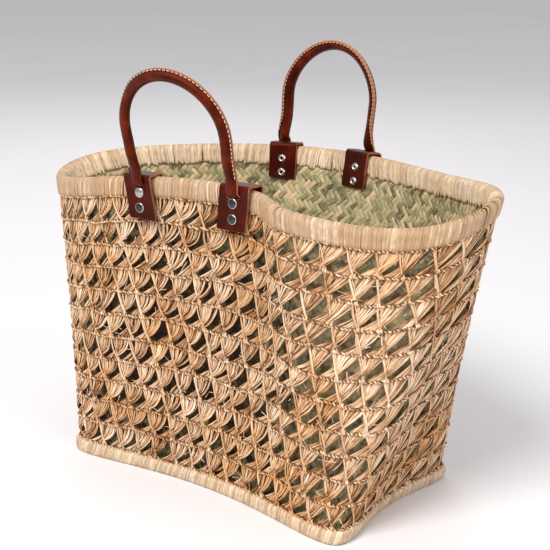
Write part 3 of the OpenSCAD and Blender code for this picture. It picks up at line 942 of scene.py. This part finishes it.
def metal_material():
    m = Nodes("nickel")
    place = m.coordinates()
    scratches = m.noise(m.stretched(place, (2500.0, 260.0, 1200.0)), 1.0, 3.0, 0.6)
    tarnish = m.noise(place, 420.0, 3.0, 0.6)
    plate = m.mix(tarnish, linear(52, 50, 50), linear(92, 90, 88))
    # tone paints the bright highlight colour over the dark plate
    colour = m.mix(m.attribute("tone"), plate, linear(214, 212, 208))
    m.bump(scratches, 0.12, 0.0001)
    return m.finish(colour, m.span(tarnish, 0.3, 0.7, 0.18, 0.36), Metallic=1.0)


def thread_material():
    m = Nodes("waxed_thread")
    twist = m.noise(m.stretched(m.attribute("grain", "Vector"), (3.0, 3.0, 1.0)), 1.0)
    m.bump(twist, 0.4, 0.0002)
    return m.finish(m.mix(twist, linear(206, 178, 150), linear(244, 226, 204)), 0.6)


HANDLE_STOPS = ((0.3, 36, 6, 3), (0.52, 66, 16, 6), (0.74, 112, 38, 14))
TAB_STOPS = ((0.3, 26, 2, 2), (0.52, 50, 7, 4), (0.74, 86, 17, 9))
CUT_STOPS = ((0.3, 120, 58, 32), (0.52, 158, 90, 56), (0.74, 196, 132, 90))
handle_leather = leather_material("handle_leather", HANDLE_STOPS, 0.42)
tab_leather = leather_material("tab_leather", TAB_STOPS, 0.36)
cut_leather = leather_material("cut_leather", CUT_STOPS, 0.6)
nickel = metal_material()
thread = thread_material()

# ---- tabs ----


def tab_path():
    """Stations over the rim, as [out, up] of the leather's middle, outer foot first."""
    half = TAB_THICKNESS / 2
    radius = TAB_CORNER - half
    shoulder = TAB_TOP - TAB_CORNER
    fold_out, fold_in = TAB_OUT - TAB_CORNER, TAB_IN + TAB_CORNER
    outer_ups = [-OUTER_LEG, -37, -35, -32, -28, -24, -20, -16, -13, -11, -9.6]
    outer_ups += [SLIT_LOW, (SLIT_LOW + SLIT_HIGH) / 2, SLIT_HIGH, -2.6, -1.4]
    inner_ups = (-3, -6, -10, -14, -18, -22, -26, -29, -31.5, -33, -INNER_LEG)
    quarter = np.radians([0, 22.5, 45, 67.5, 90])
    turns = [(fold_out, a) for a in quarter] + [(fold_in, a) for a in quarter + math.pi / 2]
    corners = [(c + radius * math.cos(a), shoulder + radius * math.sin(a)) for c, a in turns]
    path = [(TAB_OUT - half, up) for up in outer_ups] + corners[:5]
    path += [(out, TAB_TOP - half) for out in np.linspace(fold_out, fold_in, 7)[1:-1]]
    return np.array(path + corners[5:] + [(TAB_IN + half, up) for up in inner_ups])


def tab_piece(place):
    """A strap folded over the rim, with a slit in its outer leg that a handle comes out of."""
    rng = np.random.default_rng(60 + TAB_PLACES.index(place))
    half_width = TAB_WIDTH / 2
    columns = np.array([-15, -14.4, -12.8, -10.8, -8.6, -SLIT_HALF, -5, -2.5, 0])
    columns = np.concatenate([columns, -columns[-2::-1]])
    path = tab_path()
    rows, across_count = len(path), len(columns)
    across = np.tile(columns, (rows, 1))
    # the corners at both feet are cut round
    for ends, trim in ((0, 1.3), (1, 0.35), (-1, 1.3), (-2, 0.35)):
        across[ends] *= (half_width - trim) / half_width
    out = np.tile(path[:, 0:1], (1, across_count))
    up = np.tile(path[:, 1:2], (1, across_count))
    sign = np.sign(path[:, 0:1] - (TAB_OUT + TAB_IN) / 2)
    depth = np.clip(-up / OUTER_LEG, 0, 1)
    curl = 0.5 * (across / half_width) ** 4 + 0.9 * depth**6
    wave = rng.normal(0, 0.25) * np.sin(up / 7 + rng.uniform(0, TURN)) * across / half_width
    out = out + sign * (curl + wave)
    skewed = np.where(sign > 0, depth - 0.45, -0.45)
    across = across * place.spread + place.skew * skewed
    bowed = np.clip(1 - (across / SLIT_HALF) ** 2, 0, 1)
    low_row = int(np.argmin(np.abs(path[:, 1] - SLIT_LOW) + 100 * (path[:, 0] < 0)))
    for row, sag, push in ((low_row, 1.5, 1.1), (low_row - 1, 0.9, 0.8), (low_row - 2, 0.3, 0.4)):
        up[row] -= sag * bowed[row]
        out[row] += push * bowed[row]
    points = place.point(across, out, up).reshape(-1, 3) * MM
    faces = []
    for row in range(rows - 1):
        for column in range(across_count - 1):
            in_slit = row in (low_row, low_row + 1)
            if in_slit and abs(columns[column] + columns[column + 1]) < 2 * SLIT_HALF:
                continue
            first = row * across_count + column
            faces.append((first, first + 1, first + across_count + 1, first + across_count))
    mesh = bpy.data.meshes.new(place.name + "_tab")
    mesh.from_pydata(points.tolist(), [], faces)
    mesh.polygons.foreach_set("use_smooth", np.ones(len(faces), bool))
    name = place.name + "_tab_leather"
    piece = add_piece(name, mesh, tab_leather, "leather", [place.name + "_tab"])
    mesh.materials.append(cut_leather)
    solid = piece.modifiers.new("thickness", "SOLIDIFY")
    set_all(solid, thickness=TAB_THICKNESS * MM, offset=0, material_offset_rim=1)
    bevel = piece.modifiers.new("softened_edges", "BEVEL")
    sharp = math.radians(50)
    set_all(bevel, width=0.5 * MM, segments=2, limit_method="ANGLE", angle_limit=sharp)
    set_all(piece.modifiers.new("rounding", "SUBSURF"), levels=1, render_levels=1)


# ---- rivets ----

CAP_PROFILE = (
    (0.0, 2.0), (1.4, 1.93), (2.6, 1.7), (3.4, 1.42), (3.8, 1.2), (4.0, 1.02), (4.2, 1.08),
    (4.5, 0.98), (4.75, 0.62), (4.8, 0.3), (4.7, 0.0), (4.0, -0.3),
)
BACK_PROFILE = (
    (0.0, -3.0), (1.35, -3.0), (1.4, 0.6), (1.6, 1.3), (2.1, 1.78), (2.8, 1.95), (3.3, 1.7),
    (3.6, 1.1), (3.7, 0.75), (4.1, 0.6), (4.2, 0.3), (4.15, 0.0), (3.4, -0.2),
)


def rivets(place, kind, profile, face, sign):
    """Both rivets' parts on one face of a tab, lathed from a profile of [radius, proud]."""
    turn = np.arange(40) * TURN / 40
    radius, proud = np.array(profile).T[..., None]
    radius = radius + 0.01  # so that the first ring isn't a point
    strips = Strips()
    # painted highlight: a cap's rim takes the bright colour and its middle the dark plate; the
    # backs take the bright colour all over
    edge = 1 if kind == "backs" else ease(radius, 3.95, 4.45)
    for depth in RIVET_DEPTHS:
        across, up = radius * np.cos(turn) * sign, radius * np.sin(turn) - depth
        # painted highlight: the front left tab's upper cap is painted bright all over, as a glint
        painted_highlight = 0.6 if place.name == "front_left" and depth < 20 else 0.0
        strips.add_rings(place.point(across, face + sign * proud, up), np.maximum(edge, painted_highlight))
    node = f"{place.name}_rivet_{kind}"
    strips.piece(node + "_nickel", nickel, "rivet_metal", [node])


# ---- handles ----

SEAM_LIP = 2.3  # how far the stitched seam stands out of the roll
HANDLE_SIZES = {"front": (4.8, 4.8, SEAM_LIP), "back": (5.3, 3.7, SEAM_LIP)}  # half sizes and lip
SEAM_HALF = 1.2
SEAM_ROLL = math.radians(50)
STITCH = 2.6
STITCH_PITCH = 3.9


def smooth_curve(points, between):
    """A Catmull-Rom curve through points of any dimension."""
    padded = np.concatenate([[2 * points[0] - points[1]], points, [2 * points[-1] - points[-2]]])
    share = (np.arange(between) / between)[:, None]
    pieces = []
    for i in range(1, len(padded) - 2):
        a, b, c, d = padded[i - 1 : i + 3]
        squared, cubed = 2 * a - 5 * b + 4 * c - d, 3 * b - a - 3 * c + d
        pieces.append(0.5 * (2 * b + (c - a) * share + squared * share**2 + cubed * share**3))
    return np.concatenate(pieces + [points[-1:]])


LEG_BEHIND = {"front": 0.0, "back": 3.5}
ARCH_ASIDE = {"front": -1.0, "back": 0.3}
ARCH_PINCH = {"front": 0.02, "back": 0.09}  # how much narrower an arch's crown is
ARCH_SKEW = {"front": -2.0, "back": 3.2}  # how far its crown stands aside


def neck_stations(place, outward_sign):
    """Stations from under the tab, out of its slit and up to the hinge line. Each is a point,
    the direction in which the seam faces, and half sizes [wide, thick, lip]."""
    hinge_out, hinge_up = HINGE_OUT[place.side], HINGE_UP[place.side]
    under = TAB_OUT - TAB_THICKNESS - 1.3
    clear = TAB_OUT + 1.9
    stations = [
        (under, -OUTER_LEG + 2, 10.5, 1.1, 0.05),
        (under, -26, 10.5, 1.1, 0.05),
        (under, -15, 10.2, 1.1, 0.05),
        (under + 0.3, -10.8, 7.2, 1.2, 0.1),
        (under + 2.4, -7.2, 6.3, 1.6, 0.3),
        (clear - 0.2, -4.4, 6.2, 2.0, 0.8),
        (clear + 0.2, -1.2, 6.1, 2.5, 1.3),
        (clear * 0.8 + hinge_out * 0.2, 0.45 * hinge_up, 5.7, 3.2, 1.7),
        (clear * 0.4 + hinge_out * 0.6, hinge_up, 5.1, 4.1, 2.1),
    ]
    rows = []
    for out, up, wide, thick, lip in stations:
        point = place.point(place.leg_aside * ease(up, -7, 0), out, up)
        rows.append(np.concatenate([point, outward_sign * place.across, [wide, thick, lip]]))
    return rows


def handle_stations(side):
    """Stations of one leather strip, from the right-hand tab over the arch to the left."""
    left, right = (place for place in TAB_PLACES if place.side == side)
    hinges = [p.point(0.0, HINGE_OUT[side], HINGE_UP[side]) for p in (left, right)]
    span = hinges[1] - hinges[0]
    length = np.linalg.norm(span)
    half = length / 2
    middle = (hinges[0] + hinges[1]) / 2
    tilt = -math.degrees(math.asin(span[2] / length))
    axes = turned(HANDLE_LEAN[side], tilt, math.degrees(math.atan2(span[1], span[0])))
    radius, rise = ARCH_RADIUS[side], ARCH_CENTRE[side]
    splay = math.atan2(rise, half) - math.acos(radius / math.hypot(half, rise))
    leg = radius * math.sin(-splay) * math.cos(splay) + rise * math.cos(splay)
    leg += (radius * math.cos(splay) - half) * math.sin(splay)

    def station(x, z, facing, behind=0.0):
        # the front handle's seam rolls round on its left leg, the back one's the other way
        turn = SEAM_ROLL * ease(facing, 1.9, 3.3) if side == "front" else -SEAM_ROLL
        in_plane = np.array([math.cos(facing), 0, math.sin(facing)])
        seam = axes @ (in_plane * math.cos(turn) + np.array([0, math.sin(turn), 0]))
        point = middle + axes @ np.array([x + ARCH_ASIDE[side], behind, z])
        return np.concatenate([point, seam, HANDLE_SIZES[side]])

    right_sign = 1 if right.across @ span > 0 else -1
    right_leg, left_leg = [], []
    for share in (0.42, 0.75):
        run = leg * share
        x, z = half + run * math.sin(splay), run * math.cos(splay)
        bent = (1 - share) ** 1.5
        behind = bent * LEG_BEHIND[side]
        aside_right, aside_left = (bent * p.leg_aside * right_sign for p in (right, left))
        right_leg.append(station(x + aside_right, z, -splay, behind))
        left_leg.insert(0, station(-x + aside_left, z, math.pi + splay, behind))
    arch = []
    for t in np.linspace(-splay, math.pi + splay, 20):
        crown = max(0.0, math.sin(t))
        x = radius * math.cos(t) * (1 - ARCH_PINCH[side] * crown) + ARCH_SKEW[side] * crown**2
        arch.append(station(x, rise + radius * math.sin(t), t))
    rows = neck_stations(right, right_sign) + right_leg + arch + left_leg
    rows += neck_stations(left, -right_sign)[::-1]
    return smooth_curve(np.array(rows), 5)


def handle_frames(rows):
    """Centre, seam direction and thickness direction of each station, and its sizes."""
    centre = rows[:, 0:3]
    along = unit(np.gradient(centre, axis=0))
    seam = rows[:, 3:6]
    seam = unit(seam - along * np.sum(seam * along, axis=1, keepdims=True))
    return centre, seam, np.cross(seam, along), rows[:, 6:9]


def handle_section(wide, thick, lip):
    """A closed section in [seam, thick] steps, round but for the flat seam that stands out of
    it, and how far each point belongs to the cut edge."""
    root = math.radians(16)
    angles = np.linspace(root, TURN - root, 19)
    flat = np.minimum(1, thick / 2.2) * SEAM_HALF
    tip = wide + lip
    low, high = wide + 0.35 * lip, wide + 0.85 * lip
    points = [(wide * np.cos(a), thick * np.sin(a), 0.0) for a in angles]
    points += [(low, -flat, 0.0), (high, -flat, 0.1), (tip, -0.7 * flat, 1.0)]
    points += [(tip - 0.12 * lip, np.zeros_like(flat), 0.8)]
    points += [(tip, 0.7 * flat, 1.0), (high, flat, 0.1), (low, flat, 0.0)]
    seam, across, cut = zip(*points)
    return np.stack(seam, -1), np.stack(across, -1), np.array(cut)


def handle_pieces(side):
    body = side + "_handle"
    rows = handle_stations(side)
    centre, seam, thick, sizes = handle_frames(rows)
    seam_steps, thick_steps, cut = handle_section(*sizes.T)
    strips = Strips()
    strips.add_rings(swept(centre, seam, seam_steps, thick, thick_steps))
    cover = strips.mesh(body + "_leather")
    write_attribute(cover, "cut", "FLOAT", np.tile(cut, len(rows)))

    # stitches on both faces of the seam, where the seam stands clear of the roll
    run = np.concatenate([[0], np.cumsum(np.linalg.norm(np.diff(centre, axis=0), axis=1))])
    clear = np.flatnonzero(sizes[:, 2] > 0.9 * SEAM_LIP)
    starts = np.arange(run[clear[0]], run[clear[-1]] - STITCH, STITCH_PITCH)
    along = starts[:, None] + np.linspace(0, STITCH, 5)
    path = centre + (HANDLE_SIZES[side][0] + 0.52 * SEAM_LIP) * seam
    lift = SEAM_HALF + 0.16 - 0.25 * np.abs(np.linspace(-1, 1, 5)) ** 3
    line = np.stack([np.interp(along, run, path[:, i]) for i in range(3)], -1)
    proud = np.stack([np.interp(along, run, thick[:, i]) for i in range(3)], -1)
    sewn = Strips()
    for face in (-1, 1):
        sewn.add(line + face * proud * lift[:, None], face * proud, 0.8, 0.6, 0.5)
    stitches = sewn.mesh(body + "_stitches")

    nodes = [body + "_cover", body + "_cord"]
    nodes += [place.name + "_handle_end" for place in TAB_PLACES if place.side == side]
    for mesh, material, slot, stood_for in (
        (cover, handle_leather, "leather", nodes),
        (stitches, thread, "waxed_thread", [body + "_thread"]),
    ):
        piece = linked(mesh.name, mesh)
        mesh.materials.append(material)
        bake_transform(piece)
        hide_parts(*stood_for)


for place in TAB_PLACES:
    tab_piece(place)
    rivets(place, "caps", CAP_PROFILE, TAB_OUT, 1)
    rivets(place, "backs", BACK_PROFILE, TAB_IN, -1)
for side in ("front", "back"):
    handle_pieces(side)

# ---- stage, light and camera ----


def stage():
    """A plain pale floor that reaches far behind the basket."""
    m = Nodes("stage_paint")
    speckle = m.noise(m.coordinates(), 3.0, 3.0)
    paint = m.finish(m.mix(speckle, linear(226, 224, 224), linear(232, 230, 230)), 0.8)
    mesh = bpy.data.meshes.new("floor")
    size = 40.0
    corners = [(-size, -size, 0), (size, -size, 0), (size, size, 0), (-size, size, 0)]
    mesh.from_pydata(corners, [], [(0, 1, 2, 3)])
    mesh.materials.append(paint)
    linked("floor", mesh)


def view_direction(azimuth, elevation):
    """Unit vector from the basket towards a viewer. Azimuth 0 looks along +Y."""
    a, e = math.radians(azimuth), math.radians(elevation)
    return Vector((math.sin(a) * math.cos(e), -math.cos(a) * math.cos(e), math.sin(e)))


def aimed(name, data, location, back):
    """A lamp or camera that looks away from the direction back."""
    thing = linked(name, data)
    set_all(thing, location=location, rotation_mode="QUATERNION")
    thing.rotation_quaternion = back.to_track_quat("Z", "Y")
    return thing


def soft_light(name, azimuth, elevation, distance, size, watts):
    """A large area lamp that looks at the basket."""
    data = bpy.data.lights.new(name, "AREA")
    set_all(data, shape="DISK", size=size, energy=watts)
    direction = view_direction(azimuth, elevation)
    aimed(name, data, direction * distance + Vector((0, 0, 0.15)), direction)


def light():
    world = bpy.data.worlds.new("soft_daylight")
    world.use_nodes = True
    background = world.node_tree.nodes["Background"]
    background.inputs["Color"].default_value = (0.97, 0.97, 1.0, 1.0)
    background.inputs["Strength"].default_value = 0.6
    bpy.context.scene.world = world
    soft_light("key_light", CAMERA_AZIMUTH - 35, 50, 3.4, 1.6, 106)
    soft_light("fill_light", CAMERA_AZIMUTH + 50, 30, 2.2, 1.6, 13)
    soft_light("back_light", CAMERA_AZIMUTH + 185, 40, 2.4, 1.6, 9)
    bpy.context.scene.view_settings.view_transform = "Standard"


CAMERA_AZIMUTH = 38.34
CAMERA_ELEVATION = 16.34
CAMERA_DISTANCE = 1.158
CAMERA_ANGLE = 26.03


def camera():
    data = bpy.data.cameras.new("camera")
    data.angle = math.radians(CAMERA_ANGLE)
    back = view_direction(CAMERA_AZIMUTH, CAMERA_ELEVATION)
    a = math.radians(CAMERA_AZIMUTH)
    right = Vector((math.cos(a), math.sin(a), 0))
    aim = Vector((0, 0, 0.145)) + right * 0.01926 + back.cross(right) * 0.04784
    bpy.context.scene.camera = aimed("camera", data, aim + back * CAMERA_DISTANCE, back)


stage()
light()
camera()
